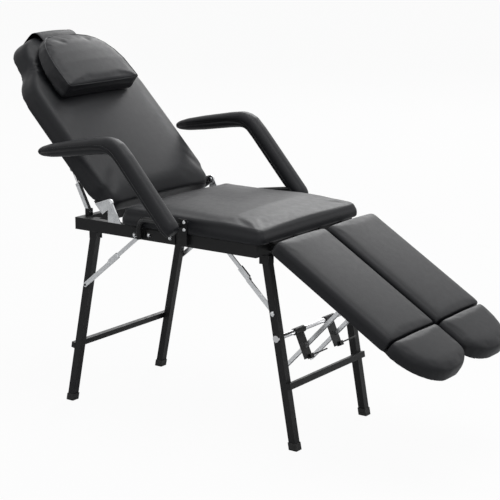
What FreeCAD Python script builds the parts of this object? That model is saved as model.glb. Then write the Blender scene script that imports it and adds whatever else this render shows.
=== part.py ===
import FreeCAD, Part
import math
import os

os.makedirs("parts", exist_ok=True)
V = FreeCAD.Vector

# Portable cosmetic chair, millimetres. +X runs to the foot end, +Z is up, -Y is the sitter's right.
# Lengths along X are counted from the front edge of the steel frame, which lies at x_front.
x_front = 245.2

# Seat, which sets the width of the frame below it and the place of the back behind it
seat_w = 570.0
seat_d = 550.0
seat_nose = 25.0
seat_edge = 716.0
seat_crown = 14.0
seat_dip = 9.0
seat_tail = 12.0
seat_soft = 18.0
board_t = 12.0
soft_gap = 0.3
overhang = 10.0
seat_back = x_front + seat_nose - seat_d

# Main frame of steel angle
rail_out = seat_w / 2 - overhang
rail_t = 3.0
rail_h = 40.0
flange = 25.0
rail_top = seat_edge - 62.0
rail_low = rail_top - rail_h
frame_tail = 185.0
frame_len = seat_d + frame_tail
x_rear = x_front - frame_len
y_in = rail_out - flange
flange_low = rail_top - rail_t
strap_w = 30.0

# Backrest, measured from its pivot: a runs to the head, c stands off the face
back_angle = 45.7
back_pivot = (seat_back - 59.0, seat_edge + 2.0)
back_under = -54.0
back_face = 22.0
back_crown = 12.0
back_soft = 34.0
back_half = rail_out + 5.0
back_foot = -18.0
back_tip = 700.0
ear_t = 3.0
ear_in = rail_out - ear_t
lug_gap = 0.3
pivot_r = 5.0
run_gap = 0.05

# Leg rests, measured from their pivot in the same way
rest_angle = 31.2
rest_pivot = (x_front + 26.0, rail_top - 16.0)
rest_under = 15.0
rest_board_t = 10.0
rest_face = 65.0
rest_crown = 4.0
rest_start = 20.0
rest_split = 496.0
rest_tip = 668.0
rest_round_in = 75.0
rest_round_out = 150.0
rest_soft = 22.0
rest_in = 7.0
rest_out = seat_w / 2 - 1.0
split_gap = 1.2
hinge_y = (75.0, rest_out - 79.0)

# Leg frames of square tube
tube = 25.0
tube_wall = 1.5
leg_top = 8.0
leg_pin_r = 5.0
leg_pin_z = rail_top - 55.0
front_y = rail_out - 68.0
rear_y = rail_out - 34.0
front_pin = (x_front - 6.0, leg_pin_z)
rear_pin = (x_rear + 59.0, leg_pin_z)
front_foot = (front_pin[0] + 109.0, 0.0)
rear_foot = (rear_pin[0] - 124.0, 0.0)
bracket_gap = 0.5
bracket_t = 3.0
bar_h = 20.0
bar_t = 14.0
bar_end = 13.0
front_bar_z = 202.0
rear_bar_z = 197.0
cap = 29.0
cap_h = 24.0
cap_sole = 6.0

# Folding braces: on each side a lower and an upper link in planes of their own, and a lock on the upper one
brace_pin_r = 4.0
rear_brace_up = (rear_pin[0] + 211.0, rail_top - 30.0)
front_brace_up = (front_pin[0] - 203.0, rail_top - 30.0)
rear_brace_reach = 180.0
front_brace_low = (front_pin[0] + 10.0, leg_pin_z - 173.0)
brace_diff = 30.0
upper_r = 6.5
lower_r = 7.5
lower_t = 5.0
upper_t = 4.5
link_gap = 1.5
link_off = 2.5
lock_fit = 0.3
lock_wall = 1.5
rear_lower_y = rear_y + tube / 2 + link_gap
rear_upper_y = rear_lower_y + lower_t + link_off
front_lower_y = front_y - tube / 2 - link_gap - 3.0 - lower_t
front_upper_y = front_lower_y - link_off - upper_t

# Leg-rest struts, their cross rod and locking plates
rod = (x_front + 40.0, leg_pin_z - 246.0)
rod_r = 8.0
sleeve_r = rod_r + 3.0
strut_y = 87.0
strut_low = (x_front - 35.0, leg_pin_z - 398.0)
strut_seat = (262.0, rest_under - 9.4)
strut_w = 14.0
strut_h = 12.0
plate_t = 2.5
plate_lean = 24.3

# Back props
prop_y = rail_out - 55.0
prop_foot = (x_rear + 13.0, rail_top + 14.0)
prop_head = (205.0, -90.0)
prop_r = 4.0
prop_half = 7.0
clevis_gap = 0.4

# Armrests
arm_out = seat_w / 2 + 105.0
arm_wide = 58.0
arm_y = arm_out - arm_wide / 2
arm_low = (seat_back + 273.0, arm_y, seat_edge - 44.0)
arm_bend = (seat_back + 43.0, arm_y, seat_edge + 216.0)
arm_tip = (seat_back - 280.0, arm_y, seat_edge + 162.0)
arm_tube_r = 8.5
arm_plate_t = 4.0
bolt_r = 5.0
post_bolt_r = 3.5


def block(x0, x1, y0, y1, z0, z1):
    return Part.makeBox(x1 - x0, y1 - y0, z1 - z0, V(x0, y0, z0))


def plate(points, y0, y1):
    ring = [V(p[0], y0, p[1]) for p in points]
    ring.append(ring[0])
    return Part.Face(Part.makePolygon(ring)).extrude(V(0, y1 - y0, 0))


def disc(p, r, y0, y1):
    return Part.makeCylinder(r, y1 - y0, V(p[0], y0, p[1]), V(0, 1, 0))


def step(p, q, along, aside=0.0):
    # A point measured from p along the line to q, and to the left of that line.
    length = math.dist(p, q)
    ux = (q[0] - p[0]) / length
    uz = (q[1] - p[1]) / length
    return (p[0] + ux * along - uz * aside, p[1] + uz * along + ux * aside)


def bar(p, q, before, after, half, y0, y1):
    length = math.dist(p, q)
    ring = [step(p, q, -before, half), step(p, q, -before, -half)]
    ring += [step(p, q, length + after, -half), step(p, q, length + after, half)]
    return plate(ring, y0, y1)


def link(p, q, r, y0, y1):
    return bar(p, q, 0, 0, r, y0, y1).fuse(disc(p, r, y0, y1)).fuse(disc(q, r, y0, y1)).removeSplitter()


def mirrored(shape):
    return shape.mirror(V(0, 0, 0), V(0, 1, 0))


def both(shape):
    return Part.makeCompound([mirrored(shape), shape])


def save(name, shape):
    shape.exportStep("parts/" + name + ".step")


def save_sides(name, left):
    save(name + "_left", left)
    save(name + "_right", mirrored(left))


def tilted(shape, pivot, angle):
    # From the flat layout about the origin to the resting tilt about the pivot.
    moved = shape.copy()
    moved.rotate(V(0, 0, 0), V(0, 1, 0), angle)
    moved.translate(V(pivot[0], 0, pivot[1]))
    return moved


def tilted_point(p, pivot, angle):
    t = math.radians(angle)
    dx = p[0] * math.cos(t) + p[1] * math.sin(t)
    dz = p[1] * math.cos(t) - p[0] * math.sin(t)
    return (pivot[0] + dx, pivot[1] + dz)


def cushion_ring(x, y0, y1, low, edge, crown, round_r):
    # One cross-section of a padded form: flat base, upright sides, rounded shoulders and a crowned top.
    k = round_r * (1 - math.sqrt(0.5))
    mid = (y0 + y1) / 2
    base = Part.makeLine(V(x, y0, low), V(x, y1, low))
    wall_1 = Part.makeLine(V(x, y1, low), V(x, y1, edge - round_r))
    turn_1 = Part.Arc(V(x, y1, edge - round_r), V(x, y1 - k, edge - k), V(x, y1 - round_r, edge)).toShape()
    top = Part.Arc(V(x, y1 - round_r, edge), V(x, mid, edge + crown), V(x, y0 + round_r, edge)).toShape()
    turn_0 = Part.Arc(V(x, y0 + round_r, edge), V(x, y0 + k, edge - k), V(x, y0, edge - round_r)).toShape()
    wall_0 = Part.makeLine(V(x, y0, edge - round_r), V(x, y0, low))
    return Part.Wire([base, wall_1, turn_1, top, turn_0, wall_0])


def cushion(stations, low):
    rings = [cushion_ring(x, y0, y1, low, edge, crown, r) for x, y0, y1, edge, crown, r in stations]
    return Part.makeLoft(rings, True, True)


# Side rails: angle with its flange turned in along the top, and the upper brace pins
rail = block(x_front - frame_len, x_front, rail_out - rail_t, rail_out, rail_low, rail_top)
rail = rail.fuse(block(x_front - frame_len, x_front, y_in, rail_out, flange_low, rail_top))
rail = rail.fuse(disc(rear_brace_up, brace_pin_r, rear_upper_y - 1, rail_out - rail_t)).removeSplitter()
save_sides("side_rail", rail)

# Front and rear rails: the same angle, let in between the side rails
inner = rail_out - rail_t
front_rail = block(x_front - rail_t, x_front, -inner, inner, rail_low, flange_low)
front_rail = front_rail.fuse(block(x_front - flange, x_front, -y_in, y_in, flange_low, rail_top))
front_rail = front_rail.removeSplitter()
save("front_rail", front_rail)
rear_rail = block(x_rear, x_rear + rail_t, -inner, inner, rail_low, flange_low)
rear_rail = rear_rail.fuse(block(x_rear, x_rear + flange, -y_in, y_in, flange_low, rail_top)).removeSplitter()
save("rear_rail", rear_rail)

# Cross straps under the seat board; the front one carries the tabs of the front braces
fx = front_brace_up[0]
strap_front = block(fx - strap_w / 2, fx + strap_w / 2, -y_in, y_in, flange_low, rail_top)
tab_y = front_upper_y - 2
tab = block(fx - 12, fx + 12, tab_y - 3, tab_y, front_brace_up[1] - 12, flange_low)
tab = tab.fuse(disc(front_brace_up, brace_pin_r, tab_y - 3, front_upper_y + upper_t + 0.5))
strap_front = strap_front.fuse(tab).fuse(mirrored(tab)).removeSplitter()
save("front_strap", strap_front)
save("rear_strap", block(seat_back - 20, seat_back - 20 + strap_w, -y_in, y_in, flange_low, rail_top))

# Leg brackets: plates on both sides of each leg's top, with the fold pin between them
fp = front_pin
rp = rear_pin
bracket_low = leg_pin_z - 15
ear_0 = tube / 2 + bracket_gap
ear_1 = ear_0 + bracket_t
front_plate = [(x_front - flange, flange_low), (x_front - flange, bracket_low), (fp[0] + 14, bracket_low)]
front_plate += [(fp[0] + 14, rail_low), (x_front - rail_t, rail_low), (x_front - rail_t, flange_low)]
front_bracket = plate(front_plate, front_y - ear_1, front_y - ear_0)
front_bracket = front_bracket.fuse(plate(front_plate, front_y + ear_0, front_y + ear_1))
front_bracket = front_bracket.fuse(disc(fp, leg_pin_r, front_y - ear_1, front_y + ear_1)).removeSplitter()
save("front_leg_brackets", both(front_bracket))
rear_0 = rp[0] - 14
rear_1 = rp[0] + 14
rear_bracket = block(rear_0, rear_1, rear_y - ear_1, rear_y + ear_1, flange_low - bracket_t, flange_low)
for y0 in (rear_y - ear_1, rear_y + ear_0):
    rear_bracket = rear_bracket.fuse(block(rear_0, rear_1, y0, y0 + bracket_t, bracket_low, flange_low))
rear_bracket = rear_bracket.fuse(disc(rp, leg_pin_r, rear_y - ear_1, rear_y + ear_1)).removeSplitter()
save("rear_leg_brackets", both(rear_bracket))

# Seat board of plywood
board_y = rail_out - 13
board_x = (seat_back + 7, x_front - 4)
save("seat_board", block(board_x[0], board_x[1], -board_y, board_y, rail_top, rail_top + board_t))

# Seat cushion: crowned, with rounded corners, wrapped round the edges of its board
half = seat_w / 2
x1 = x_front + seat_nose
seat_rows = []
for s, inset, drop in ((0, 20, 14), (5, 10, 7), (13, 3, 2), (28, 0, 0), (150, 0, 0)):
    rise = seat_crown * (0.25 + 0.75 * s / 150)
    dip = seat_dip * (1 - s / 150)
    seat_rows.append((s, half - inset, seat_edge - drop, rise, dip))
stations = [(seat_back - seat_tail + s, -w, w, e, c, seat_soft) for s, w, e, c, dip in seat_rows]
stations += [(x1 - s, -w, w, e - dip, c, seat_soft) for s, w, e, c, dip in reversed(seat_rows)]
seat_cushion = cushion(stations, rail_top + soft_gap)
pocket = block(board_x[0] - soft_gap, board_x[1] + soft_gap, -board_y - soft_gap, board_y + soft_gap,
               rail_top - 5, rail_top + board_t + soft_gap)
save("seat_cushion", seat_cushion.cut(pocket))

# Back ears: triangular plates on the side rails with the back pivot pins
bp = back_pivot
ear_ring = [(bp[0] - 8, rail_top), (seat_back - 12, rail_top), (bp[0] + 9, bp[1] + 6), (bp[0] - 8, bp[1] + 6)]
ear = plate(ear_ring, ear_in, rail_out)
ear = ear.fuse(disc(bp, 13, ear_in, rail_out))
pin = disc(bp, pivot_r, ear_in - 2 * ear_t, rail_out).fuse(disc(bp, 8.5, rail_out, rail_out + 4))
save_sides("back_ear", ear.fuse(pin).removeSplitter())

# Backrest: built flat along -X from its pivot and tilted up
back_edge = [(back_foot, 34), (back_foot + 5, 24), (0, 16), (20, 12), (46, 12), (60, 1), (80, 0)]
back_edge += [(300, -2), (440, -1)]
back_edge += [(480, 4), (505, 14), (528, 30), (550, 52), (575, 66), (605, 72), (635, 77), (655, 86)]
back_edge += [(672, 102), (685, 126), (694, 152), (back_tip, 186)]
back_rows = [(a, back_half - inset) for a, inset in back_edge]


def back_stations():
    rows = []
    for a, w in back_rows:
        s = min(a - back_foot, back_tip - a)
        near = min(1.0, s / 45)
        rows.append((-a, -w, w, back_face - 12 * (1 - near) ** 2, back_crown * near + 1, back_soft))
    return rows


lug_y = ear_in - lug_gap - ear_t
back_lay = [(a, w - 11.3) for a, w in back_rows if a >= 46]
board_ring = [V(-4, -lug_y, back_under), V(-48, -lug_y, back_under)]
board_ring += [V(-a, -w, back_under) for a, w in back_lay]
board_ring += [V(-a, w, back_under) for a, w in reversed(back_lay)]
board_ring += [V(-48, lug_y, back_under), V(-4, lug_y, back_under), V(-4, -lug_y, back_under)]
board_face = Part.Face(Part.makePolygon(board_ring))
back_board = board_face.extrude(V(0, 0, board_t))
save("back_board", tilted(back_board, bp, back_angle))
back_room = board_face.makeOffset2D(soft_gap).extrude(V(0, 0, board_t + soft_gap + 5))
back_room.translate(V(0, 0, -5))
wedge_ring = [(9 - back_foot, back_under - 9), (9 - back_foot, -10), (-1, back_under - 9)]
foot_wedge = plate(wedge_ring, -back_half, back_half)
back_cushion = cushion(back_stations(), back_under).cut(back_room).cut(foot_wedge)
save("back_cushion", tilted(back_cushion, bp, back_angle))

# Back lugs: plates on the board's edges that turn on the pivot pins
lug = plate([(-40, back_under), (5, back_under), (12, -8), (0, 13), (-12, 6)], lug_y, lug_y + ear_t)
lug = lug.fuse(disc((0, 0), 13, lug_y, lug_y + ear_t))
lug = lug.cut(disc((0, 0), pivot_r + run_gap, lug_y - 1, lug_y + ear_t + 1))
save_sides("back_lug", tilted(lug.removeSplitter(), bp, back_angle))

# Head pillow: a block that thins towards the head, resting on the back's face
pillow_low = back_face + back_crown + 1.6
pillow_y = -30.0
pillow_rows = [(404, 172, 50, 3, 9), (407, 178, 56, 4, 12), (414, 183, 60, 5, 14), (440, 186, 62, 7, 16)]
pillow_rows += [(500, 183, 60, 8, 16), (545, 172, 56, 8, 16), (585, 156, 50, 8, 16), (612, 136, 43, 8, 15)]
pillow_rows += [(632, 112, 35, 7, 13), (644, 86, 25, 5, 10), (650, 62, 18, 4, 7)]
pillow_st = [(-a, pillow_y - w, pillow_y + w, pillow_low + h, c, r) for a, w, h, c, r in pillow_rows]
save("head_pillow", tilted(cushion(pillow_st, pillow_low), bp, back_angle))

# Pillow strap: a flat band from the pillow over the head end and down the back of the board
tip = back_tip
strap_low = back_under - 0.4
strap_y = -18.0
strap_half = 90.0
strap_path = [(650.4, 37), (tip - 24, 35), (tip + 1, 22), (tip + 4, 5), (tip + 4, strap_low + 4.4)]
strap_path += [(tip + 1, strap_low), (540, strap_low)]
strap_outer = [(540, strap_low - 2), (tip + 2, strap_low - 2), (tip + 6, strap_low + 3.4), (tip + 6, 6)]
strap_outer += [(tip + 2, 24)]
strap_outer += [(tip - 23, 37), (650.4, 39)]
strap = plate([(-a, c) for a, c in strap_path + strap_outer], strap_y - strap_half, strap_y + strap_half)
save("pillow_strap", tilted(strap, bp, back_angle))

# Back props: a sleeve hinged on the rear rail and a sliding rod that carries the back
head = tilted_point((-prop_head[0], prop_head[1]), bp, back_angle)
foot = prop_foot
prop_len = math.dist(foot, head)
sleeve_len = 100.0
prop_0 = prop_y - prop_half
prop_1 = prop_y + prop_half
prop_tube = bar(foot, head, prop_half, sleeve_len - prop_len, prop_half, prop_0, prop_1)
way = V((head[0] - foot[0]) / prop_len, 0, (head[1] - foot[1]) / prop_len)
bore_at = V(foot[0], prop_y, foot[1]) + way * 12
prop_tube = prop_tube.cut(Part.makeCylinder(prop_r + 0.3, sleeve_len, bore_at, way))
prop_tube = prop_tube.cut(disc(foot, 3 + run_gap, prop_y - 8, prop_y + 8))
save_sides("prop_sleeve", prop_tube)
rod_start = 54.0
rod_at = V(foot[0], prop_y, foot[1]) + way * rod_start
prop_rod = Part.makeCylinder(prop_r, prop_len - rod_start - 6, rod_at, way)
prop_eye = disc(head, 9, prop_y - 3, prop_y + 3).cut(disc(head, 3.4, prop_y - 4, prop_y + 4))
save_sides("prop_rod", prop_rod.fuse(prop_eye).removeSplitter())
cheek_0 = prop_half + clevis_gap
cheek_1 = cheek_0 + 3
clevis = disc(foot, 3, prop_y - cheek_1, prop_y + cheek_1)
for y0 in (prop_y - cheek_1, prop_y + cheek_0):
    clevis = clevis.fuse(block(foot[0] - 8, foot[0] + 8, y0, y0 + 3, rail_top, foot[1] + 8))
clevis = clevis.removeSplitter()
save("prop_feet", both(clevis))
pa, pc = prop_head
prop_ring = [(-pa - 16, back_under), (-pa + 16, back_under), (-pa + 9, pc - 9), (-pa - 9, pc - 9)]
prop_lug = plate(prop_ring, prop_y - 8, prop_y - 5)
prop_lug = prop_lug.fuse(disc((-pa, pc), 3, prop_y - 5, prop_y - 3.6)).removeSplitter()
save("prop_lugs", tilted(both(prop_lug), bp, back_angle))

# Leg rests: built flat along +X from their pivot and tilted down
mid = (rest_in + rest_out) / 2
wide = (rest_out - rest_in) / 2
lp = rest_pivot


def rest_part(shape):
    return tilted(shape, lp, rest_angle)


def rest_widths(a):
    # Widths of the leg rest from its middle to its inner and outer edge; the tip is rounder on the outside.
    over_in = max(0.0, a - (rest_tip - rest_round_in)) / rest_round_in
    over_out = max(0.0, a - (rest_tip - rest_round_out)) / rest_round_out
    return wide * math.sqrt(1 - over_in ** 2), wide * math.sqrt(1 - over_out ** 2)


rest_lay = [rest_start + 4, rest_tip - rest_round_out]
rest_lay += [rest_tip - d for d in (110, 75, 54, 38, 26)]
ring = [V(a, mid - rest_widths(a)[0] + 12, rest_under) for a in rest_lay]
ring += [V(a, mid + rest_widths(a)[1] - 12, rest_under) for a in reversed(rest_lay)]
ring.append(ring[0])
rest_face_shape = Part.Face(Part.makePolygon(ring))
rest_board = rest_face_shape.extrude(V(0, 0, rest_board_t))
save_sides("rest_board", rest_part(rest_board))
rest_room = rest_face_shape.makeOffset2D(soft_gap).extrude(V(0, 0, rest_board_t + soft_gap + 5))
rest_room.translate(V(0, 0, -5))

calf_st = []
calf_rows = [(rest_start, 11, 11), (rest_start + 4, 5, 5), (rest_start + 11, 1, 1)]
calf_rows += [(rest_start + 24, 0, 0), (rest_split - 24, 0, 0), (rest_split - 6, 0.5, 0.5)]
calf_rows += [(rest_split - 2, 2, 2), (rest_split, 4, 5)]
for a, inset, drop in calf_rows:
    y0 = mid - wide + inset
    y1 = mid + wide - inset
    calf_st.append((a, y0, y1, rest_face - drop, rest_crown - drop / 5, rest_soft))
save_sides("calf_cushion", rest_part(cushion(calf_st, rest_under).cut(rest_room)))

foot_st = []
start = rest_split + split_gap
foot_rows = [(start, 7, 5), (start + 2, 4, 2), (start + 6, 1.5, 0.5), (start + 22, 0, 0)]
tip_rows = [(rest_round_out - 20, 0), (104, 0), (rest_round_in, 0), (52, 0)]
tip_rows += [(32, 1), (17, 3), (8, 6), (2.5, 11)]
foot_rows += [(rest_tip - d, 0, drop) for d, drop in tip_rows]
for a, inset, drop in foot_rows:
    w_in, w_out = rest_widths(a)
    y0 = mid - w_in + inset
    y1 = mid + w_out - inset
    foot_st.append((a, y0, y1, rest_face - drop, rest_crown - drop / 5, rest_soft))
save_sides("foot_cushion", rest_part(cushion(foot_st, rest_under).cut(rest_room)))

# Hinge straps under the leg-rest boards, and the lugs on the front rail that hold their pins
hinge_ring = [(-2, 7.5), (15, rest_under), (110, rest_under), (110, rest_under - 3)]
hinge_ring += [(18, rest_under - 3), (3, -7), (-3, -7)]
lug_ring = [(x_front, lp[1] - 14), (lp[0], lp[1] - 8), (lp[0] + 7, lp[1])]
lug_ring += [(lp[0], lp[1] + 8), (x_front, lp[1] + 12)]
hinges = []
lugs = []
for y0 in hinge_y:
    hinge = plate(hinge_ring, y0, y0 + 4).fuse(disc((0, 0), 8, y0, y0 + 4))
    hinges.append(hinge.cut(disc((0, 0), 4 + run_gap, y0 - 1, y0 + 5)).removeSplitter())
    lugs.append(plate(lug_ring, y0 - 6, y0 - 1).fuse(disc(lp, 4, y0 - 6, y0 + 7)).removeSplitter())
save_sides("rest_hinge", rest_part(Part.makeCompound(hinges)))
save("rest_lugs", both(Part.makeCompound(lugs)))

# Saddles under the leg rests that the struts push against
sa, sc = strut_seat
saddle = block(sa - 26, sa + 60, strut_y - 21, strut_y + 21, rest_under - 3.4, rest_under)
for y0 in (strut_y - 21, strut_y + 18.5):
    saddle = saddle.fuse(block(sa - 26, sa + 60, y0, y0 + 2.5, rest_under - 10, rest_under))
saddle = saddle.removeSplitter()
save_sides("strut_saddle", rest_part(saddle))

# Front legs: square tube, drilled for the fold pin and the strut rod, with the brace tab
ff = front_foot


def leg(pin_at, foot_at, y):
    out = bar(pin_at, foot_at, leg_top, 20, tube / 2, y - tube / 2, y + tube / 2)
    bore = tube / 2 - tube_wall
    hollow = bar(pin_at, foot_at, 20, 30, bore, y - bore, y + bore)
    below = block(foot_at[0] - tube * 2, foot_at[0] + tube * 2, y - tube, y + tube, -tube * 3, cap_sole)
    return out.cut(hollow).cut(below).cut(disc(pin_at, leg_pin_r + run_gap, y - tube, y + tube))


front_leg = leg(fp, ff, front_y).cut(disc(rod, rod_r + run_gap, front_y - tube, front_y + tube))
low = front_brace_low
near = step(fp, ff, 165, -tube / 2)
tab_ring = [(near[0], near[1] + 12), (near[0] + 14, near[1] + 4), (near[0] + 17, near[1] - 16)]
tab_ring += [(low[0] + 2, low[1] - 9), (low[0] - 8, low[1] - 4), (low[0] - 6, low[1] + 7)]
brace_tab = plate(tab_ring, front_lower_y + lower_t + link_gap, front_y - tube / 2)
brace_pin = disc(low, brace_pin_r, front_lower_y - 0.4, front_y - tube / 2)
front_leg = front_leg.fuse(brace_tab).fuse(brace_pin).removeSplitter()
save_sides("front_leg", front_leg)

# Rear legs: wider apart, with the brace pins on their outer faces
rf = rear_foot
rear_low = step(rp, rf, rear_brace_reach)
rear_leg = leg(rp, rf, rear_y)
rear_stud = disc(rear_low, brace_pin_r, rear_y + tube / 2 - tube_wall, rear_upper_y - 1.3)
rear_leg = rear_leg.fuse(rear_stud).removeSplitter()
save_sides("rear_leg", rear_leg)

# Foot caps of plastic round the tube ends
def foot_cap(pin_at, foot_at, y):
    out = bar(pin_at, foot_at, -400, 40, cap / 2, y - cap / 2, y + cap / 2)
    x0 = foot_at[0] - cap * 2
    x1 = foot_at[0] + cap * 2
    out = out.common(block(x0, x1, y - cap, y + cap, 0, cap_h))
    room = bar(pin_at, foot_at, -400, 40, tube / 2, y - tube / 2, y + tube / 2)
    return out.cut(room.common(block(x0, x1, y - cap, y + cap, cap_sole, cap_h * 2)))


save("front_feet", both(foot_cap(fp, ff, front_y)))
save("rear_feet", both(foot_cap(rp, rf, rear_y)))


# Cross bars on the outer faces of the legs
def cross_bar(pin_at, foot_at, z, side, reach):
    at = (pin_at[1] - z) / (pin_at[1] - foot_at[1]) * math.dist(pin_at, foot_at)
    p = step(pin_at, foot_at, at - bar_h / 2, side * tube / 2)
    q = step(pin_at, foot_at, at + bar_h / 2, side * tube / 2)
    far_q = step(pin_at, foot_at, at + bar_h / 2, side * (tube / 2 + bar_t))
    far_p = step(pin_at, foot_at, at - bar_h / 2, side * (tube / 2 + bar_t))
    return plate([p, q, far_q, far_p], -reach, reach)


save("front_cross_bar", cross_bar(fp, ff, front_bar_z, 1, front_y + bar_end))
save("rear_cross_bar", cross_bar(rp, rf, rear_bar_z, -1, rear_y + bar_end))


# Braces: two links and a locking sleeve on each side, in separate planes so that they pass each other
def knee_of(up, low):
    lower_len = (math.dist(up, low) - brace_diff) / 2
    return step(low, up, lower_len)


def brace_upper(up, knee, y0, y1, rivet):
    out = link(up, knee, upper_r, y0, y1).cut(disc(up, brace_pin_r + run_gap, y0 - 1, y1 + 1))
    return out.fuse(disc(knee, 4, min(y0, rivet), max(y1, rivet))).removeSplitter()


def brace_lower(low, knee, y0, y1):
    out = link(low, knee, lower_r, y0, y1)
    return out.cut(disc(low, brace_pin_r + run_gap, y0 - 1, y1 + 1))


def lock_sleeve(up, knee, y0, y1):
    p = step(knee, up, 6)
    q = step(knee, up, 50)
    out = bar(p, q, 0, 0, upper_r + 3, y0 - lock_wall, y1 + lock_wall + lock_fit)
    return out.cut(bar(p, q, 5, 5, upper_r + lock_fit, y0 - lock_fit, y1 + lock_fit))


rear_knee = knee_of(rear_brace_up, rear_low)
front_knee = knee_of(front_brace_up, low)
rear_upper = (rear_upper_y, rear_upper_y + upper_t)
front_upper = (front_upper_y, front_upper_y + upper_t)
save("rear_brace_upper", both(brace_upper(rear_brace_up, rear_knee, *rear_upper, rear_upper[1] + 1.5)))
save("rear_brace_lower", both(brace_lower(rear_low, rear_knee, rear_lower_y, rear_lower_y + lower_t)))
save("rear_brace_locks", both(lock_sleeve(rear_brace_up, rear_knee, *rear_upper)))
save("front_brace_upper", both(brace_upper(front_brace_up, front_knee, *front_upper, front_upper[0] - 1.2)))
save("front_brace_lower", both(brace_lower(low, front_knee, front_lower_y, front_lower_y + lower_t)))
save("front_brace_locks", both(lock_sleeve(front_brace_up, front_knee, *front_upper)))

# Strut rod across the front legs, with a nut at each end
strut_rod = disc(rod, rod_r, -front_y - tube / 2, front_y + tube / 2)
nut = disc(rod, sleeve_r, front_y + tube / 2 + 0.3, front_y + tube / 2 + 6)
core = disc(rod, rod_r, front_y + tube / 2, front_y + tube / 2 + 6)
strut_rod = strut_rod.fuse(nut).fuse(mirrored(nut)).fuse(core).fuse(mirrored(core)).removeSplitter()
save("strut_rod", strut_rod)

# Leg-rest struts: steel channel with a cross foot under the saddle, passing through its locking plate
seat_at = tilted_point((sa, sc), lp, rest_angle)
strut_len = math.dist(strut_low, seat_at)


def strut_at(y):
    out = bar(strut_low, seat_at, 0, 0, strut_h / 2, y - strut_w / 2, y + strut_w / 2)
    p = step(strut_low, seat_at, -5, -2)
    q = step(strut_low, seat_at, strut_len - 24, -2)
    out = out.cut(bar(p, q, 0, 0, strut_h / 2, y - strut_w / 2 + 2, y + strut_w / 2 - 2))
    return out.fuse(disc(seat_at, 5.5, y - 17, y + 17)).removeSplitter()


save("rest_strut_left", strut_at(strut_y))
save("rest_strut_right", strut_at(-strut_y))

# Locking plates: hung on the strut rod by a sleeve, with a window for the strut and a release rod
lean = math.radians(plate_lean)
plate_end = (rod[0] + 93 * math.sin(lean), rod[1] - 93 * math.cos(lean))


def lock_plate(y):
    out = bar(rod, plate_end, -6, 0, plate_t / 2, y - 33, y + 11)
    cheek = bar(rod, plate_end, -82, 4, 8, y - 6, y + 11)
    cheek = cheek.cut(bar(rod, plate_end, -75, 0, 6, y - 8, y + 12))
    out = out.fuse(cheek)
    out = out.fuse(disc(rod, sleeve_r, y - 38, y + 16)).cut(disc(rod, rod_r + run_gap, y - 40, y + 20))
    hole = bar(strut_low, seat_at, 0, 0, strut_h / 2 + 0.8, y - strut_w / 2 - 0.6, y + strut_w / 2 + 0.6)
    tip = step(rod, plate_end, 88, 5)
    out = out.cut(hole).fuse(disc(tip, 2.5, y - 6, y + 92))
    return out.removeSplitter()


save("lock_plate_left", lock_plate(strut_y))
save("lock_plate_right", lock_plate(-strut_y))


# Armrests: a padded bent bar on each side, thicker along its run than at its ends
def arm_ring(x, y, z, slope, high, wide_y):
    # A rounded rectangle across the arm; slope is the direction of the arm's run.
    h = high / 2
    w = wide_y / 2
    r = 0.42 * min(high, wide_y)
    k = r * (1 - math.sqrt(0.5))
    flat = []
    for sy, sz in ((1, -1), (1, 1), (-1, 1), (-1, -1)):
        if sy * sz < 0:
            flat.append([(sy * (w - r), sz * h), (sy * (w - k), sz * (h - k)), (sy * w, sz * (h - r))])
        else:
            flat.append([(sy * w, sz * (h - r)), (sy * (w - k), sz * (h - k)), (sy * (w - r), sz * h)])
    t = math.radians(slope)

    def at(q):
        return V(x - q[1] * math.sin(t), y + q[0], z + q[1] * math.cos(t))

    edges = []
    for i in range(4):
        a, b, c = flat[i]
        edges.append(Part.Arc(at(a), at(b), at(c)).toShape())
        edges.append(Part.makeLine(at(c), at(flat[(i + 1) % 4][0])))
    return Part.Wire(edges)


def arm_run(p, q, f):
    return tuple(p[i] + (q[i] - p[i]) * f for i in range(3))


rise = math.degrees(math.atan2(arm_bend[2] - arm_low[2], arm_bend[0] - arm_low[0]))
fall = math.degrees(math.atan2(arm_tip[2] - arm_bend[2], arm_tip[0] - arm_bend[0])) + 360
arm_st = [(arm_run(arm_low, arm_bend, 0.0), rise, 38, 40), (arm_run(arm_low, arm_bend, 0.02), rise, 50, 52)]
arm_st += [(arm_run(arm_low, arm_bend, 0.07), rise, 56, arm_wide)]
arm_st += [(arm_run(arm_low, arm_bend, 0.5), rise, 57, arm_wide)]
arm_st += [(arm_run(arm_low, arm_bend, 0.82), rise + 2, 56, arm_wide)]
knee_in = arm_run(arm_low, arm_bend, 0.88)
knee_out = arm_run(arm_bend, arm_tip, 0.16)
for f in (0.25, 0.5, 0.75):
    a = arm_run(knee_in, arm_bend, f)
    b = arm_run(arm_bend, knee_out, f)
    arm_st.append((arm_run(a, b, f), rise + (fall - rise) * f, 56, arm_wide))
arm_st += [(arm_run(arm_bend, arm_tip, 0.22), fall, 54, arm_wide)]
arm_st += [(arm_run(arm_bend, arm_tip, 0.6), fall, 50, arm_wide)]
arm_st += [(arm_run(arm_bend, arm_tip, 0.82), fall, 43, 54), (arm_run(arm_bend, arm_tip, 0.93), fall, 32, 44)]
arm_st += [(arm_run(arm_bend, arm_tip, 0.985), fall, 19, 28), (arm_run(arm_bend, arm_tip, 1.0), fall, 10, 15)]
arm = Part.makeLoft([arm_ring(p[0], p[1], p[2], s, h, w) for p, s, h, w in arm_st], True, True)


# Armrest tubes: bent tube welded to the rail plate and pushed up into the pad
def pipe(points, r):
    out = Part.makeCylinder(r, (points[1] - points[0]).Length, points[0], points[1] - points[0])
    for p, q in zip(points[1:-1], points[2:]):
        out = out.fuse(Part.makeSphere(r, p)).fuse(Part.makeCylinder(r, (q - p).Length, p, q - p))
    return out.removeSplitter()


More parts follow.
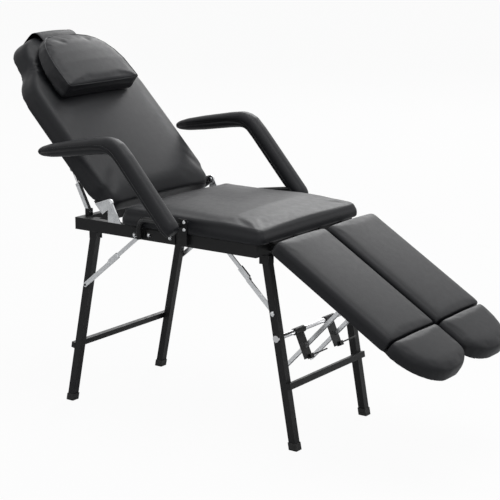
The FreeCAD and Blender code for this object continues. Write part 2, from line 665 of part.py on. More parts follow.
tube_y = seat_w / 2 + 1 + arm_tube_r
sb = seat_back
arm_path = [V(sb + 80, tube_y, rail_low + 6), V(sb + 80, tube_y, rail_top + 2)]
arm_path += [V(sb + 87, tube_y + 2, rail_top + 19), V(sb + 101, tube_y + 8, rail_top + 31)]
arm_path += [V(sb + 121, tube_y + 18, rail_top + 37), V(sb + 238, arm_y - 8, rail_top + 48)]
save_sides("arm_tube", pipe(arm_path, arm_tube_r))

# Armrest plates on the rails, with bolt heads, and the bolted post that holds the pad's lower end
plate_y = rail_out + arm_plate_t
arm_plate = block(sb + 35, sb + 213, rail_out, plate_y, rail_low + 3, flange_low)
for dx, dz in ((51, 13), (110, 20), (196, 21)):
    arm_plate = arm_plate.fuse(disc((sb + dx, rail_low + dz), bolt_r, plate_y, plate_y + 4))
boss = block(sb + 71, sb + 89, plate_y, tube_y - arm_tube_r, rail_low + 6, rail_low + 36)
arm_plate = arm_plate.fuse(boss).removeSplitter()
stop_y = seat_w / 2 + 1
peg = (sb + 243, rail_top + 30)
stop_0 = sb + 236
stop_1 = sb + 268
stop = block(stop_0, stop_1, rail_out, stop_y + 3, rail_low + 8, flange_low)
stop = stop.fuse(block(stop_0, stop_1, stop_y, stop_y + 3, rail_low + 8, rail_top + 51))
stop = stop.fuse(disc(peg, 7, stop_y, arm_y))
for dz in (18, 42):
    stop = stop.fuse(disc((sb + 259, rail_top + dz), post_bolt_r, stop_y + 3, stop_y + 6))
save_sides("arm_plate", Part.makeCompound([arm_plate, stop.removeSplitter()]))
arm = arm.cut(pipe(arm_path, arm_tube_r + soft_gap)).cut(disc(peg, 7 + soft_gap, stop_y, arm_y + soft_gap))
save_sides("arm_pad", arm)
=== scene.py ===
import math

import bmesh
import bpy
from mathutils import Matrix, Vector, bvhtree, kdtree, noise


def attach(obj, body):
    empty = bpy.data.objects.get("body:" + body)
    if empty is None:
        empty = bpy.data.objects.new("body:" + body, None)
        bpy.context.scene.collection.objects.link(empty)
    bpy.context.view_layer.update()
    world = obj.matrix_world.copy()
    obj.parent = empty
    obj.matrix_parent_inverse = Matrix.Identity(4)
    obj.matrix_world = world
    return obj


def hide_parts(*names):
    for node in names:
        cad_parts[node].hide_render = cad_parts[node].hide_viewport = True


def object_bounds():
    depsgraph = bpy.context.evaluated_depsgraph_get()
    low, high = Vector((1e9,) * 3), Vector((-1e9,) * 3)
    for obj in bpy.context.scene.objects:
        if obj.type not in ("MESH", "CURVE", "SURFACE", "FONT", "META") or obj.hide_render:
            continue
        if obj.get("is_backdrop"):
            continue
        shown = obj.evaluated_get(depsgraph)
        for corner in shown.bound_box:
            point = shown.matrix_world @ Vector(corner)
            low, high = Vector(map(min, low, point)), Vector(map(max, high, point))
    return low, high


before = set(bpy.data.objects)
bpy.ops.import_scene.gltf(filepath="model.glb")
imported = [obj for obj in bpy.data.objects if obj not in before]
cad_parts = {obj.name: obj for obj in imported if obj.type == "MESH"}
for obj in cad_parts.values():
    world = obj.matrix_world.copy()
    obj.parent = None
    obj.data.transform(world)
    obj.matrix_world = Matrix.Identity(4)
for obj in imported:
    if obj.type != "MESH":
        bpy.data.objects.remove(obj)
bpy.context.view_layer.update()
scene = bpy.context.scene
scene.view_settings.view_transform = "Standard"

# Studio: a pale floor in a white surround, a broad lamp overhead, one behind the chair and a weak fill.
# The camera stands low at the foot end, on the sitter's right.
floor_reach = 30
floor_clearance = 0.0005
floor_glow_share = 0.95
floor_corners = [(x * floor_reach, y * floor_reach, 0) for x, y in ((-1, -1), (1, -1), (1, 1), (-1, 1))]
floor_mesh = bpy.data.meshes.new("floor")
floor_mesh.from_pydata(floor_corners, [], [(0, 1, 2, 3)])
floor = bpy.data.objects.new("floor", floor_mesh)
floor.location.z = -floor_clearance
scene.collection.objects.link(floor)
floor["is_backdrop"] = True
pale = bpy.data.materials.new("pale floor")
pale.use_nodes = True
tree = pale.node_tree
tree.nodes.clear()
ray = tree.nodes.new("ShaderNodeLightPath")
seen = tree.nodes.new("ShaderNodeMath")
seen.operation = "MULTIPLY"
seen.inputs[1].default_value = floor_glow_share
matt = tree.nodes.new("ShaderNodeBsdfDiffuse")
matt.inputs["Color"].default_value = (0.85, 0.85, 0.85, 1)
glow = tree.nodes.new("ShaderNodeEmission")
glow.inputs["Strength"].default_value = 1.0
both = tree.nodes.new("ShaderNodeMixShader")
out = tree.nodes.new("ShaderNodeOutputMaterial")
tree.links.new(ray.outputs["Is Camera Ray"], seen.inputs[0])
tree.links.new(seen.outputs[0], both.inputs[0])
tree.links.new(matt.outputs[0], both.inputs[1])
tree.links.new(glow.outputs[0], both.inputs[2])
tree.links.new(both.outputs[0], out.inputs[0])
floor_mesh.materials.append(pale)

surround = bpy.data.worlds.new("surround")
surround.use_nodes = True
tree = surround.node_tree
tree.nodes.clear()
ray = tree.nodes.new("ShaderNodeLightPath")
shown = tree.nodes.new("ShaderNodeMath")
shown.operation = "ADD"
shown.use_clamp = True
shown_too = tree.nodes.new("ShaderNodeMath")
shown_too.operation = "ADD"
shown_too.use_clamp = True
dim = tree.nodes.new("ShaderNodeBackground")
dim.inputs["Color"].default_value = (0.94, 0.97, 1.0, 1)
dim.inputs["Strength"].default_value = 0.26
white = tree.nodes.new("ShaderNodeBackground")
white.inputs["Color"].default_value = (1, 1, 1, 1)
both = tree.nodes.new("ShaderNodeMixShader")
out = tree.nodes.new("ShaderNodeOutputWorld")
tree.links.new(ray.outputs["Is Camera Ray"], shown.inputs[0])
tree.links.new(ray.outputs["Is Glossy Ray"], shown.inputs[1])
tree.links.new(shown.outputs[0], shown_too.inputs[0])
tree.links.new(ray.outputs["Is Transmission Ray"], shown_too.inputs[1])
tree.links.new(shown_too.outputs[0], both.inputs[0])
tree.links.new(dim.outputs[0], both.inputs[1])
tree.links.new(white.outputs[0], both.inputs[2])
tree.links.new(both.outputs[0], out.inputs[0])
scene.world = surround


def soft_lamp(name, place, aim, width, height, watts):
    lamp = bpy.data.lights.new(name, "AREA")
    lamp.shape = "RECTANGLE"
    lamp.size = width
    lamp.size_y = height
    lamp.energy = watts
    stand = bpy.data.objects.new(name, lamp)
    stand.location = place
    stand.rotation_euler = (Vector(aim) - Vector(place)).to_track_quat("-Z", "Y").to_euler()
    scene.collection.objects.link(stand)


soft_lamp("overhead lamp", (0.5, 0.2, 3.6), (0.3, 0, 0.6), 2.6, 2.2, 58)
soft_lamp("rear lamp", (-2.6, 7.2, 5.2), (0.2, 0, 0.5), 4.5, 3.0, 240)
soft_lamp("fill lamp", (2.6, -3.2, 1.9), (0, 0, 0.6), 1.6, 1.6, 6)

camera_dip = 12.95
camera_turn = 35.67
eye = bpy.data.cameras.new("camera")
eye.lens = 110.5
eye.sensor_width = 36.0
eye.clip_end = 60
camera = bpy.data.objects.new("camera", eye)
camera.location = (2.8822, -3.980, 1.686)
camera.rotation_euler = (math.radians(90 - camera_dip), 0, math.radians(camera_turn))
scene.collection.objects.link(camera)
scene.camera = camera


# Rails, straps, leg tubes, brackets and arm tubes: mild steel, welded and powder coated satin black.
# The coat has a fine orange peel, and is rubbed a little lighter along the edges.
def new_finish(name, colour, roughness, metallic=0.0):
    finish = bpy.data.materials.new(name)
    finish.use_nodes = True
    shader = finish.node_tree.nodes["Principled BSDF"]
    shader.inputs["Base Color"].default_value = (*colour, 1)
    shader.inputs["Roughness"].default_value = roughness
    shader.inputs["Metallic"].default_value = metallic
    place = finish.node_tree.nodes.new("ShaderNodeTexCoord")
    return finish, finish.node_tree, shader, place.outputs["Object"]


def speckle(tree, place, scale, detail=3.0):
    grain = tree.nodes.new("ShaderNodeTexNoise")
    grain.inputs["Scale"].default_value = scale
    grain.inputs["Detail"].default_value = detail
    grain.inputs["Roughness"].default_value = 0.55
    tree.links.new(place, grain.inputs["Vector"])
    return grain.outputs["Fac"]


def between(tree, value, low, high, from_low=0.3, from_high=0.7):
    spread = tree.nodes.new("ShaderNodeMapRange")
    spread.inputs["From Min"].default_value = from_low
    spread.inputs["From Max"].default_value = from_high
    spread.inputs["To Min"].default_value = low
    spread.inputs["To Max"].default_value = high
    tree.links.new(value, spread.inputs["Value"])
    return spread.outputs["Result"]


def tint(tree, value, first, second):
    mix = tree.nodes.new("ShaderNodeMix")
    mix.data_type = "RGBA"
    mix.inputs["A"].default_value = (*first, 1)
    mix.inputs["B"].default_value = (*second, 1)
    tree.links.new(value, mix.inputs["Factor"])
    return mix.outputs["Result"]


def raise_grain(tree, height, strength, depth, normal=None):
    bump = tree.nodes.new("ShaderNodeBump")
    bump.inputs["Strength"].default_value = strength
    bump.inputs["Distance"].default_value = depth
    tree.links.new(height, bump.inputs["Height"])
    if normal is not None:
        tree.links.new(normal, bump.inputs["Normal"])
    return bump.outputs["Normal"]


def eased_edge(tree, radius):
    # The normal of a surface whose edges are rounded by the radius.
    ease = tree.nodes.new("ShaderNodeBevel")
    ease.samples = 6
    ease.inputs["Radius"].default_value = radius
    return ease.outputs["Normal"]


def edge_wear(tree, eased):
    # How far the eased normal turns from the flat: 0 on a face, 1 on an edge.
    flat = tree.nodes.new("ShaderNodeNewGeometry")
    dot = tree.nodes.new("ShaderNodeVectorMath")
    dot.operation = "DOT_PRODUCT"
    tree.links.new(eased, dot.inputs[0])
    tree.links.new(flat.outputs["True Normal"], dot.inputs[1])
    return between(tree, dot.outputs["Value"], 1.0, 0.0, 0.80, 0.995)


coat_black = (0.008, 0.008, 0.0085)
coat_rubbed = (0.04, 0.04, 0.042)
powder_coat, tree, shader, place = new_finish("black powder coat", coat_black, 0.4)
shader.inputs["Specular IOR Level"].default_value = 0.3
eased = eased_edge(tree, 0.0012)
rubbed = tint(tree, edge_wear(tree, eased), coat_black, coat_rubbed)
orange_peel = raise_grain(tree, speckle(tree, place, 1100, 2.0), 0.12, 0.0003, eased)
tree.links.new(rubbed, shader.inputs["Base Color"])
tree.links.new(between(tree, speckle(tree, place, 40), 0.34, 0.48), shader.inputs["Roughness"])
tree.links.new(orange_peel, shader.inputs["Normal"])


def dress(finish, *names):
    for name in names:
        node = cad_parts[name]
        node.data.materials.clear()
        node.data.materials.append(finish)


def both_sides(name):
    return name + "_left", name + "_right"


dress(powder_coat, *both_sides("side_rail"), "front_rail", "rear_rail", "front_strap", "rear_strap")
dress(powder_coat, "front_leg_brackets", "rear_leg_brackets", "prop_feet", "prop_lugs", "rest_lugs")
dress(powder_coat, *both_sides("rear_leg"), "rear_cross_bar", *both_sides("front_leg"), "front_cross_bar")
dress(powder_coat, *both_sides("rest_hinge"), *both_sides("strut_saddle"), *both_sides("lock_plate"))
dress(powder_coat, *both_sides("arm_plate"), *both_sides("arm_tube"))

# Foot caps: black polyethylene, moulded with a fine texture.
# They are pushed over the ends of the leg tubes.
cap_plastic, tree, shader, place = new_finish("black foot plastic", (0.011, 0.011, 0.011), 0.6)
scuffed = tint(tree, speckle(tree, place, 25), (0.009, 0.009, 0.009), (0.016, 0.016, 0.015))
moulded = raise_grain(tree, speckle(tree, place, 1500, 1.0), 0.2, 0.0003, eased_edge(tree, 0.0015))
tree.links.new(scuffed, shader.inputs["Base Color"])
tree.links.new(between(tree, speckle(tree, place, 160), 0.5, 0.68), shader.inputs["Roughness"])
tree.links.new(moulded, shader.inputs["Normal"])
dress(cap_plastic, "front_feet", "rear_feet")

# Back plates, props, brace links, their locks and the leg-rest struts: pressed steel, bright zinc plated.
# The plating shows a faint spangle, and its gloss varies a little.
bright_zinc, tree, shader, place = new_finish("bright zinc", (0.83, 0.84, 0.85), 0.3, 1.0)
spangle = tree.nodes.new("ShaderNodeTexVoronoi")
spangle.inputs["Scale"].default_value = 160
tree.links.new(place, spangle.inputs["Vector"])
tone = tree.nodes.new("ShaderNodeSeparateColor")
tree.links.new(spangle.outputs["Color"], tone.inputs["Color"])
spangled = tint(tree, tone.outputs["Red"], (0.78, 0.79, 0.80), (0.88, 0.89, 0.90))
uneven = raise_grain(tree, speckle(tree, place, 500), 0.08, 0.0002, eased_edge(tree, 0.0008))
tree.links.new(spangled, shader.inputs["Base Color"])
tree.links.new(between(tree, speckle(tree, place, 60), 0.22, 0.38), shader.inputs["Roughness"])
tree.links.new(uneven, shader.inputs["Normal"])
dress(bright_zinc, *both_sides("back_ear"), *both_sides("back_lug"), *both_sides("prop_sleeve"))
dress(bright_zinc, "rear_brace_upper", "rear_brace_lower", "rear_brace_locks")
dress(bright_zinc, "front_brace_upper", "front_brace_lower", "front_brace_locks")
dress(bright_zinc, *both_sides("rest_strut"))

# Strut rod and prop rods: round bar, ground and chrome plated.
# The chrome is clear but for a faint cloudiness.
chrome, tree, shader, place = new_finish("polished chrome", (0.72, 0.72, 0.73), 0.1, 1.0)
tree.links.new(between(tree, speckle(tree, place, 90), 0.06, 0.16), shader.inputs["Roughness"])
tree.links.new(raise_grain(tree, speckle(tree, place, 900), 0.03, 0.0001), shader.inputs["Normal"])
dress(chrome, "strut_rod", *both_sides("prop_rod"))

# Boards of the seat, back and leg rests: plywood under a stapled black dust cloth.
# The cloth is a thin felt with a fibrous face.
felt, tree, shader, place = new_finish("black dust cloth", (0.02, 0.02, 0.02), 0.9)
fibrous = tint(tree, speckle(tree, place, 420), (0.012, 0.012, 0.012), (0.03, 0.03, 0.03))
tree.links.new(fibrous, shader.inputs["Base Color"])
tree.links.new(raise_grain(tree, speckle(tree, place, 900), 0.4, 0.0005), shader.inputs["Normal"])
dress(felt, "seat_board", "back_board", *both_sides("rest_board"))

# Seat cushion: foam on the board under one piece of black artificial leather.
# The leather has a fine pebbled grain, and is pulled down, folded under and stapled below.
leather, tree, shader, place = new_finish("black artificial leather", (0.013, 0.0135, 0.0155), 0.52)
shader.inputs["Specular IOR Level"].default_value = 0.23
pebble = tree.nodes.new("ShaderNodeTexVoronoi")
pebble.feature = "SMOOTH_F1"
pebble.inputs["Scale"].default_value = 800
tree.links.new(place, pebble.inputs["Vector"])
worn = tint(tree, speckle(tree, place, 6), (0.012, 0.0125, 0.0145), (0.014, 0.0145, 0.0165))
grain = raise_grain(tree, pebble.outputs["Distance"], 0.2, 0.0005)
soft_grain = raise_grain(tree, speckle(tree, place, 24, 2.0), 0.04, 0.002, grain)
tree.links.new(worn, shader.inputs["Base Color"])
tree.links.new(between(tree, speckle(tree, place, 50, 4.0), 0.42, 0.48), shader.inputs["Roughness"])
tree.links.new(soft_grain, shader.inputs["Normal"])


def keep_mesh(piece):
    # Bakes the modifiers of a piece into its mesh.
    graph = bpy.context.evaluated_depsgraph_get()
    made = bpy.data.meshes.new_from_object(piece.evaluated_get(graph))
    old = piece.data
    piece.modifiers.clear()
    piece.data = made
    bpy.data.meshes.remove(old)


def foam_form(name, node, lay, voxel):
    # The covered foam in the flat layout it is sewn in, skinned evenly over its solid.
    weld_gap = 0.00001
    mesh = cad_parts[node].data.copy()
    mesh.transform(lay.inverted())
    work = bmesh.new()
    work.from_mesh(mesh)
    bmesh.ops.remove_doubles(work, verts=work.verts, dist=weld_gap)
    work.to_mesh(mesh)
    work.free()
    piece = bpy.data.objects.new(name, mesh)
    scene.collection.objects.link(piece)
    skin = piece.modifiers.new("skin", "REMESH")
    skin.mode = "VOXEL"
    skin.voxel_size = voxel
    keep_mesh(piece)
    return piece


def swell(piece, stapled_below, limit):
    # The cover starts drawn in, and swells under the foam's pressure by no more than the limit.
    # It is held where it is stapled, and comes free over a short fade above.
    fade = 0.02
    drawn_in = 0.8
    pressure = 4.0
    steps = 20
    least_move = 0.00001
    mesh = piece.data
    held = piece.vertex_groups.new(name="stapled")
    outward = [v.normal.copy() for v in mesh.vertices]
    for v, normal in zip(mesh.vertices, outward):
        free = min(1.0, max(0.0, (v.co.z - stapled_below) / fade))
        free = free * free * (3 - 2 * free)
        if free < 1:
            held.add([v.index], 1 - free, "REPLACE")
        v.co -= normal * (drawn_in * limit * free)
    cloth = piece.modifiers.new("cover", "CLOTH")
    cloth.settings.vertex_group_mass = "stapled"
    cloth.settings.use_pressure = True
    cloth.settings.uniform_pressure_force = pressure
    cloth.settings.effector_weights.gravity = 0
    cloth.point_cache.frame_start = 1
    cloth.point_cache.frame_end = steps
    for step in range(1, steps + 1):
        scene.frame_set(step)
    graph = bpy.context.evaluated_depsgraph_get()
    blown = [v.co.copy() for v in piece.evaluated_get(graph).data.vertices]
    piece.modifiers.clear()
    piece.vertex_groups.clear()
    scene.frame_set(1)
    for v, goal in zip(mesh.vertices, blown):
        move = goal - v.co
        if move.length > least_move:
            v.co += move * (limit * math.tanh(move.length / limit) / move.length)


def settle(piece, rounds):
    ease = piece.modifiers.new("ease", "SMOOTH")
    ease.iterations = rounds
    ease.factor = 0.5
    keep_mesh(piece)


def refine(piece, levels):
    finer = piece.modifiers.new("finer", "SUBSURF")
    finer.levels = levels
    finer.render_levels = levels


def shade(piece, smooth):
    piece.data.polygons.foreach_set("use_smooth", [smooth] * len(piece.data.polygons))


def cover_in(piece, finish, lay, node, body):
    # Finishes a padded piece: finer skin, smooth shading, its place on the chair, and the CAD solid it
    # replaces hidden.
    refine(piece, 1)
    keep_mesh(piece)
    piece.data.transform(lay)
    piece.data.materials.clear()
    piece.data.materials.append(finish)
    shade(piece, True)
    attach(piece, body)
    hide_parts(node)


upright = Matrix.Identity(4)
seat_staples = 0.672
seat_face = 0.70
hollow_depth = 0.002
hollow_scale = 5.5
seat = foam_form("seat", "seat_cushion", upright, 0.006)
swell(seat, seat_staples, 0.004)
settle(seat, 4)
for v in seat.data.vertices:
    # Faint hollows where people sit.
    if v.co.z > seat_face:
        v.co.z += hollow_depth * noise.noise(v.co * hollow_scale)
cover_in(seat, leather, upright, "seat_cushion", "frame")

# Backrest: foam on a shaped board, narrowing above the shoulders to the head end, in the same leather.
# The leather is gathered a little in the hollow of each shoulder.
back_pivot = (-0.3388, 0, 0.718)
back_slope = math.radians(45.7)
back_lay = Matrix.Translation(back_pivot) @ Matrix.Rotation(back_slope, 4, "Y")
back_staples = -0.036
shoulder_x = -0.57
shoulder_y = 0.215
gather_reach = 0.11
gather_height = 0.0016
gather_count = 9
gather_floor = -0.05
back = foam_form("back", "back_cushion", back_lay, 0.0065)
swell(back, back_staples, 0.004)
settle(back, 14)
for v in back.data.vertices:
    # Gathers fan out from the inside of the shoulder curve and die away in about ten centimetres.
    along_x = v.co.x - shoulder_x
    along_y = abs(v.co.y) - shoulder_y
    reach = math.hypot(along_x, along_y)
    if reach < gather_reach and v.co.z > gather_floor:
        turn = math.atan2(along_x, along_y)
        fold = math.sin(turn * gather_count + noise.noise(v.co * 14) * 2)
        v.co.z += gather_height * fold * (1 - reach / gather_reach) ** 1.5
cover_in(back, leather, back_lay, "back_cushion", "back")

# Head pillow: a foam block in a sewn leather case, thicker at the neck than at the head.
# A piped seam runs round its face; the strap behind it holds it to the back.
pillow_staples = 0.044
pillow_front = -0.440
face_from = 0.060
face_fade = 0.030
face_lift = 0.0045
pillow = foam_form("pillow", "head_pillow", back_lay, 0.005)
for v in pillow.data.vertices:
    # The face stays level up to its sewn front edge.
    front = min(1.0, max(0.0, (v.co.x - pillow_front) / face_fade))
    high = min(1.0, max(0.0, (v.co.z - face_from) / face_fade))
    v.co.z += face_lift * front * high
swell(pillow, pillow_staples, 0.003)
settle(pillow, 3)
cover_in(pillow, leather, upright, "head_pillow", "back")


def skin_of(piece):
    # The surface of a piece, on which seams and stitches are laid.
    work = bmesh.new()
    work.from_mesh(piece.data)
    surface = bvhtree.BVHTree.FromBMesh(work)
    work.free()
    return surface


def laid_line(name, points, closed=False):
    # A plain line of points joined by edges, from which seams and stitches are made.
    last = [(len(points) - 1, 0)] if closed else []
    mesh = bpy.data.meshes.new(name)
    mesh.from_pydata(points, [(k, k + 1) for k in range(len(points) - 1)] + last, [])
    line = bpy.data.objects.new(name, mesh)
    scene.collection.objects.link(line)
    return line


def new_nodes(name, inputs):
    # A node group that takes a geometry and the named inputs, and gives a geometry.
    group = bpy.data.node_groups.new(name, "GeometryNodeTree")
    group.interface.new_socket("Geometry", in_out="INPUT", socket_type="NodeSocketGeometry")
    for label, kind in inputs:
        group.interface.new_socket(label, in_out="INPUT", socket_type=kind)
    group.interface.new_socket("Geometry", in_out="OUTPUT", socket_type="NodeSocketGeometry")
    return group, group.nodes.new("NodeGroupInput"), group.nodes.new("NodeGroupOutput")


def grow(piece, group, values, body):
    # Runs the node group on a piece, bakes it to a plain mesh and fixes it to its body.
    run = piece.modifiers.new(group.name, "NODES")
    run.node_group = group
    for item in group.interface.items_tree:
        if item.in_out == "INPUT" and item.name in values:
            run[item.identifier] = values[item.name]
    keep_mesh(piece)
    shade(piece, True)
    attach(piece, body)


sizes = [("Radius", "NodeSocketFloat")]
piping, given, made = new_nodes("piping", sizes + [("Cover", "NodeSocketMaterial")])
as_curve = piping.nodes.new("GeometryNodeMeshToCurve")
evenly = piping.nodes.new("GeometryNodeResampleCurve")
evenly.inputs["Count"].default_value = 260
ring = piping.nodes.new("GeometryNodeCurvePrimitiveCircle")
ring.inputs["Resolution"].default_value = 10
sweep = piping.nodes.new("GeometryNodeCurveToMesh")
solid = piping.nodes.new("GeometryNodeRealizeInstances")
cover = piping.nodes.new("GeometryNodeSetMaterial")
piping.links.new(given.outputs["Geometry"], as_curve.inputs["Mesh"])
piping.links.new(as_curve.outputs["Curve"], evenly.inputs["Curve"])
piping.links.new(evenly.outputs["Curve"], sweep.inputs["Curve"])
piping.links.new(given.outputs["Radius"], ring.inputs["Radius"])
piping.links.new(ring.outputs["Curve"], sweep.inputs["Profile Curve"])
piping.links.new(sweep.outputs["Mesh"], solid.inputs["Geometry"])
piping.links.new(solid.outputs["Geometry"], cover.inputs["Geometry"])
piping.links.new(given.outputs["Cover"], cover.inputs["Material"])
piping.links.new(cover.outputs["Geometry"], made.inputs["Geometry"])

# Half of the seam as points up the back, out from the pillow's middle and above the pivot.
face_edge = [(0.406, 0.176, 0.093), (0.424, 0.184, 0.097), (0.470, 0.184, 0.097), (0.510, 0.180, 0.094)]
face_edge += [(0.550, 0.168, 0.088), (0.587, 0.152, 0.081), (0.612, 0.132, 0.074), (0.632, 0.106, 0.066)]
face_edge += [(0.644, 0.080, 0.056), (0.649, 0.040, 0.051)]
pillow_y = -0.030
piping_r = 0.0024
piping_lift = 0.0006
seam_shares = (0.0, 0.25, 0.5, 0.75)
skin = skin_of(pillow)
outline = [(-a, pillow_y - w, c) for a, w, c in face_edge]
outline += [(-a, pillow_y + w, c) for a, w, c in reversed(face_edge)]
seam = []
for k, start in enumerate(outline):
    end = outline[(k + 1) % len(outline)]
    for share in seam_shares:
        goal = [p + (q - p) * share for p, q in zip(start, end)]
        at, normal = skin.find_nearest(Vector(goal))[:2]
        seam.append(at + normal * piping_lift)
edge_piping = laid_line("pillow_piping", seam, True)
grow(edge_piping, piping, {"Radius": piping_r, "Cover": leather}, "back")
pillow.data.transform(back_lay)
edge_piping.data.transform(back_lay)

# Pillow strap: a wide band of the same leather, sewn to the pillow, over the head end and down the back.
# Both long edges are turned in and stitched.
strap_w = 0.18
strap_y = -0.018
strap_wall = 0.0014
strap_route = [(0.640, 0.0388), (0.662, 0.0384), (0.680, 0.0362), (0.694, 0.0285), (0.7025, 0.018)]
strap_route += [(0.705, 0.004), (0.705, -0.020), (0.705, -0.040), (0.7035, -0.051), (0.698, -0.0555)]
strap_route += [(0.684, -0.0555), (0.620, -0.0555), (0.542, -0.0555)]
strap_cols = 13
edge_curl = 0.002
edge_drop = 0.003
drop_fade = 0.02
rows = []
work = bmesh.new()
for a, c in strap_route:
    row = []
    for i in range(strap_cols):
        y = (i / (strap_cols - 1) - 0.5) * strap_w
        fall = (2 * y / strap_w) ** 2
        drop = edge_drop * fall * max(0.0, min(1.0, c / drop_fade))
        row.append(work.verts.new((edge_curl * fall - a, strap_y + y, c - drop)))
    rows.append(row)
for upper, lower in zip(rows[:-1], rows[1:]):
    for i in range(strap_cols - 1):
        work.faces.new((upper[i], upper[i + 1], lower[i + 1], lower[i]))
bmesh.ops.recalc_face_normals(work, faces=work.faces)
strap_mesh = bpy.data.meshes.new("pillow_band")
work.to_mesh(strap_mesh)
work.free()
strap = bpy.data.objects.new("pillow_band", strap_mesh)
scene.collection.objects.link(strap)
refine(strap, 2)
wall = strap.modifiers.new("wall", "SOLIDIFY")
wall.thickness = strap_wall
wall.offset = 0
keep_mesh(strap)
strap.data.transform(back_lay)
strap.data.materials.append(leather)
shade(strap, True)
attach(strap, "back")
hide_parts("pillow_strap")

thread, tree, shader, place = new_finish("grey thread", (0.05, 0.05, 0.052), 0.7)
twisted = tint(tree, speckle(tree, place, 1500), (0.035, 0.035, 0.037), (0.07, 0.07, 0.072))
tree.links.new(twisted, shader.inputs["Base Color"])
tree.links.new(raise_grain(tree, speckle(tree, place, 2500, 1.0), 0.3, 0.0002), shader.inputs["Normal"])
sizes = [("Spacing", "NodeSocketFloat"), ("Length", "NodeSocketFloat"), ("Thickness", "NodeSocketFloat")]
stitching, given, made = new_nodes("stitching", sizes + [("Thread", "NodeSocketMaterial")])
as_curve = stitching.nodes.new("GeometryNodeMeshToCurve")
evenly = stitching.nodes.new("GeometryNodeCurveToPoints")
evenly.mode = "LENGTH"
loop = stitching.nodes.new("GeometryNodeMeshCylinder")
loop.inputs["Vertices"].default_value = 8
place_each = stitching.nodes.new("GeometryNodeInstanceOnPoints")
along = stitching.nodes.new("FunctionNodeAlignRotationToVector")
along.axis = "Z"
solid = stitching.nodes.new("GeometryNodeRealizeInstances")
cover = stitching.nodes.new("GeometryNodeSetMaterial")
stitching.links.new(given.outputs["Geometry"], as_curve.inputs["Mesh"])
stitching.links.new(as_curve.outputs["Curve"], evenly.inputs["Curve"])
stitching.links.new(given.outputs["Spacing"], evenly.inputs["Length"])
stitching.links.new(given.outputs["Length"], loop.inputs["Depth"])
stitching.links.new(given.outputs["Thickness"], loop.inputs["Radius"])
stitching.links.new(evenly.outputs["Points"], place_each.inputs["Points"])
stitching.links.new(loop.outputs["Mesh"], place_each.inputs["Instance"])
stitching.links.new(evenly.outputs["Tangent"], along.inputs["Vector"])
stitching.links.new(along.outputs["Rotation"], place_each.inputs["Rotation"])
stitching.links.new(place_each.outputs["Instances"], solid.inputs["Geometry"])
stitching.links.new(solid.outputs["Geometry"], cover.inputs["Geometry"])
stitching.links.new(given.outputs["Thread"], cover.inputs["Material"])
stitching.links.new(cover.outputs["Geometry"], made.inputs["Geometry"])

hem_y = 0.084
hem_steps = 8
hem_lift = 0.012
strap_middle = (0.66, -0.02)
hem_stitch = {"Spacing": 0.007, "Length": 0.0045, "Thickness": 0.0006, "Thread": thread}
skin = skin_of(strap)
for side, y in (("right", strap_y - hem_y), ("left", strap_y + hem_y)):
    hem = []
    for p, q in zip(strap_route[:-1], strap_route[1:]):
        for k in range(hem_steps):
            a = p[0] + (q[0] - p[0]) * k / hem_steps
            c = p[1] + (q[1] - p[1]) * k / hem_steps
            lift = Vector((strap_middle[0] - a, 0, c - strap_middle[1])).normalized() * hem_lift
            hem.append(skin.find_nearest(back_lay @ (Vector((-a, y, c)) + lift))[0])
    row = laid_line("strap_stitches_" + side, hem)
    grow(row, stitching, hem_stitch, "back")

# Leg rests: two boards side by side, each with a long calf pad and a rounded foot pad in tight leather.
# The pads' tops are nearly flat and their edges softly rounded.
rest_pivot = (0.2712, 0, 0.638)
rest_slope = math.radians(31.2)
rest_lay = Matrix.Translation(rest_pivot) @ Matrix.Rotation(rest_slope, 4, "Y")
pad_staples = 0.012
for side in ("left", "right"):
    for part in ("calf", "foot"):
        pad = foam_form(part + "_pad_" + side, part + "_cushion_" + side, rest_lay, 0.0045)
        swell(pad, pad_staples, 0.0014)
        settle(pad, 10)
        cover_in(pad, leather, rest_lay, part + "_cushion_" + side, "rest_" + side)

# Armrests: bent steel tube in a thick foam sleeve, covered in leather with a seam along each side.
# The pad is drawn to a blunt point at the rear and cut square at the rail.
seam_line = [(-0.025, 0.662), (-0.129, 0.780), (-0.226, 0.890), (-0.246, 0.908), (-0.275, 0.917)]
seam_line += [(-0.320, 0.917), (-0.417, 0.902), (-0.552, 0.879)]
seam_steps = 50
seam_depth = 0.005
seam_spread = 0.005
seam_reach = 0.015
outside_y = 0.40
inside_y = 0.32
stitch_x = 0.005
stitch_z = 0.011
arm_stitch = {"Spacing": 0.008, "Length": 0.005, "Thickness": 0.0007, "Thread": thread}
for side, sign in (("left", 1), ("right", -1)):
    arm = foam_form("armrest_" + side, "arm_pad_" + side, upright, 0.005)
    settle(arm, 4)
    cover_in(arm, leather, upright, "arm_pad_" + side, "frame")

    skin = skin_of(arm)
    seam = []
    beside = []
    for p, q in zip(seam_line[:-1], seam_line[1:]):
        for k in range(seam_steps):
            x = p[0] + (q[0] - p[0]) * k / seam_steps
            z = p[1] + (q[1] - p[1]) * k / seam_steps
            seam.append(skin.find_nearest(Vector((x, sign * outside_y, z)))[0])
            seam.append(skin.find_nearest(Vector((x, sign * inside_y, z)))[0])
            goal = Vector((x + stitch_x, sign * outside_y, z + stitch_z))
            beside.append(skin.find_nearest(goal)[0])
    joined = kdtree.KDTree(len(seam))
    for k, at in enumerate(seam):
        joined.insert(at, k)
    joined.balance()
    outward = [v.normal.copy() for v in arm.data.vertices]
    for v, normal in zip(arm.data.vertices, outward):
        # The sleeve is drawn in along its seams.
        off = joined.find(v.co)[2]
        if off < seam_reach:
            v.co -= normal * (seam_depth * math.exp(-(off / seam_spread) ** 2))
    row = laid_line("arm_stitches_" + side, beside)
    grow(row, stitching, arm_stitch, "frame")

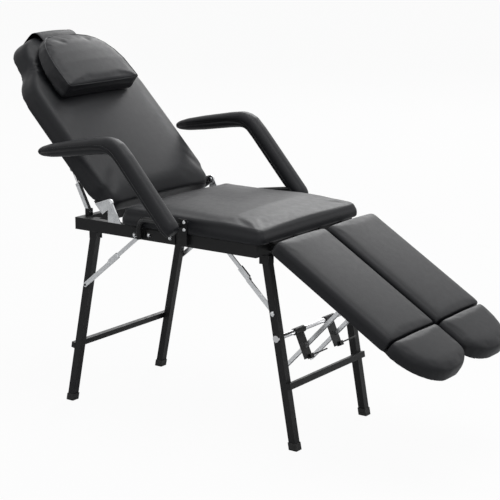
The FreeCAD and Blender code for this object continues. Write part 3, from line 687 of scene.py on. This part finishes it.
# Bolts of the armrest plates and of the front braces: zinc plated hexagon heads on washers.
# They go through the plates into nuts behind, and are done up tight.
sizes = [("Head", "NodeSocketFloat"), ("Height", "NodeSocketFloat"), ("Washer", "NodeSocketFloat")]
bolting, given, made = new_nodes("bolting", sizes + [("Plating", "NodeSocketMaterial")])
hexagon = bolting.nodes.new("GeometryNodeMeshCylinder")
hexagon.inputs["Vertices"].default_value = 6
washer = bolting.nodes.new("GeometryNodeMeshCylinder")
washer.inputs["Vertices"].default_value = 24
washer.inputs["Depth"].default_value = 0.0012
one = bolting.nodes.new("GeometryNodeJoinGeometry")
turned = bolting.nodes.new("GeometryNodeInputNamedAttribute")
turned.data_type = "FLOAT_VECTOR"
turned.inputs["Name"].default_value = "turn"
place_each = bolting.nodes.new("GeometryNodeInstanceOnPoints")
solid = bolting.nodes.new("GeometryNodeRealizeInstances")
cover = bolting.nodes.new("GeometryNodeSetMaterial")
bolting.links.new(given.outputs["Head"], hexagon.inputs["Radius"])
bolting.links.new(given.outputs["Height"], hexagon.inputs["Depth"])
bolting.links.new(given.outputs["Washer"], washer.inputs["Radius"])
bolting.links.new(hexagon.outputs["Mesh"], one.inputs["Geometry"])
bolting.links.new(washer.outputs["Mesh"], one.inputs["Geometry"])
bolting.links.new(given.outputs["Geometry"], place_each.inputs["Points"])
bolting.links.new(one.outputs["Geometry"], place_each.inputs["Instance"])
bolting.links.new(turned.outputs["Attribute"], place_each.inputs["Rotation"])
bolting.links.new(place_each.outputs["Instances"], solid.inputs["Geometry"])
bolting.links.new(solid.outputs["Geometry"], cover.inputs["Geometry"])
bolting.links.new(given.outputs["Plating"], cover.inputs["Material"])
bolting.links.new(cover.outputs["Geometry"], made.inputs["Geometry"])
plate_bolts = [(-0.2288, 0.279, 0.627), (-0.1698, 0.279, 0.634), (-0.0838, 0.279, 0.635)]
post_bolts = [(-0.0208, 0.289, 0.696), (-0.0208, 0.289, 0.672)]
leg_bolts = [(0.2700, 0.2195, 0.430)]
large_bolt = {"Head": 0.0058, "Height": 0.0094, "Washer": 0.0085, "Plating": bright_zinc}
small_bolt = {"Head": 0.0042, "Height": 0.0094, "Washer": 0.0056, "Plating": bright_zinc}
turn_step = 0.35
bolt_sets = [("plate_bolts", "frame", plate_bolts, large_bolt)]
bolt_sets += [("post_bolts", "frame", post_bolts, small_bolt)]
bolt_sets += [("leg_bolts", "front_legs", leg_bolts, large_bolt)]
for name, body, spots, bolt in bolt_sets:
    spots = spots + [(x, -y, z) for x, y, z in spots]
    mesh = bpy.data.meshes.new(name)
    mesh.from_pydata(spots, [], [])
    turns = mesh.attributes.new("turn", "FLOAT_VECTOR", "POINT")
    for k in range(len(spots)):
        turns.data[k].vector = (math.pi / 2, 0, turn_step * k)
    heads = bpy.data.objects.new(name, mesh)
    scene.collection.objects.link(heads)
    grow(heads, bolting, bolt, body)
    shade(heads, False)

low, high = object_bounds()
